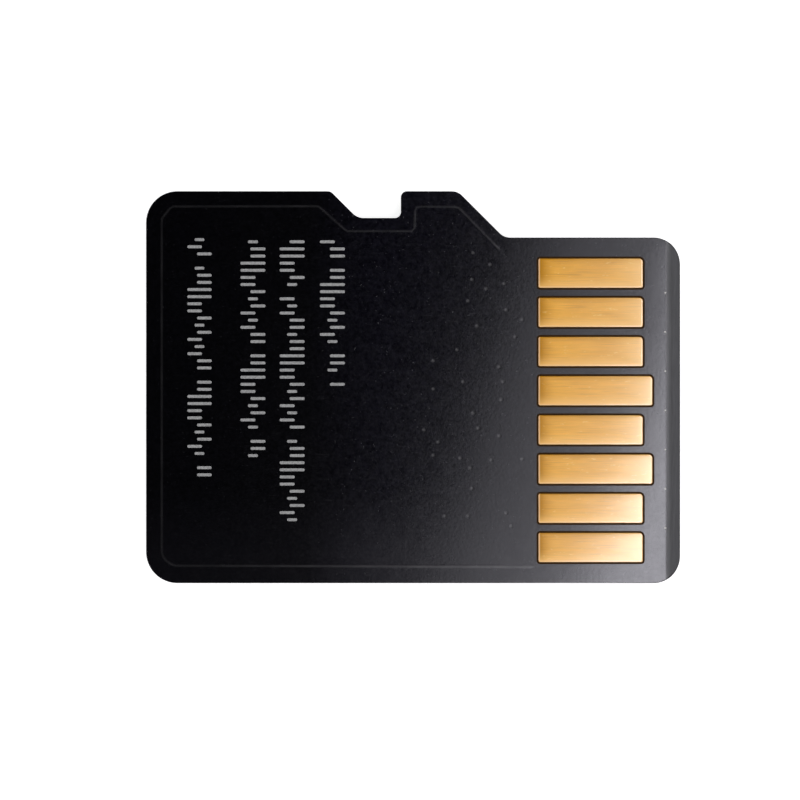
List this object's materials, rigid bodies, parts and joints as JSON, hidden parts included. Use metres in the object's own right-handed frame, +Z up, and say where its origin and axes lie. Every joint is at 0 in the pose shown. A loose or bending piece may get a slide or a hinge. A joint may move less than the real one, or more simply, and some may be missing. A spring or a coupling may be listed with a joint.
{
  "type": "memory card",
  "caption": "Thin keyed memory card with a row of gold edge contacts, a latch notch in one side, a bevelled leading edge and a thumb ridge at the rear.",
  "frame": {"origin": "middle of the card's plan, on the surface that the card lies on with its contacts up", "axes": "+X towards the contact end, +Y towards the side with the latch notch, +Z up out of the contact face"},
  "size_m": [0.015, 0.011, 0.001],
  "materials": {
    "mould_compound": "matte black epoxy moulding compound",
    "solder_mask": "satin black solder mask over laminate",
    "gold_plating": "gold plating with fine lengthwise scratches",
    "silicon": "thinned silicon",
    "die_attach_film": "adhesive film",
    "chip_capacitor": "fired ceramic with tinned ends",
    "bond_wire": "drawn gold wire"
  },
  "bodies": {
    "root": {"moulded_body": "mould_compound", "substrate": "solder_mask", "contact_1_data_2": "gold_plating", "contact_2_data_3": "gold_plating", "contact_3_command": "gold_plating", "contact_4_supply": "gold_plating", "contact_5_clock": "gold_plating", "contact_6_ground": "gold_plating", "contact_7_data_0": "gold_plating", "contact_8_data_1": "gold_plating", "memory_die_1": "silicon", "memory_die_2": "silicon", "memory_die_3": "silicon", "memory_die_4": "silicon", "controller_die": "silicon", "memory_die_1_film": "die_attach_film", "memory_die_2_film": "die_attach_film", "memory_die_3_film": "die_attach_film", "memory_die_4_film": "die_attach_film", "controller_die_film": "die_attach_film", "capacitor_1": "chip_capacitor", "capacitor_2": "chip_capacitor", "capacitor_3": "chip_capacitor", "capacitor_4": "chip_capacitor", "memory_bond_wires_1": "bond_wire", "memory_bond_wires_2": "bond_wire", "memory_bond_wires_3": "bond_wire", "memory_bond_wires_4": "bond_wire", "controller_bond_wires_front": "bond_wire", "controller_bond_wires_rear": "bond_wire"}
  },
  "joints": []
}
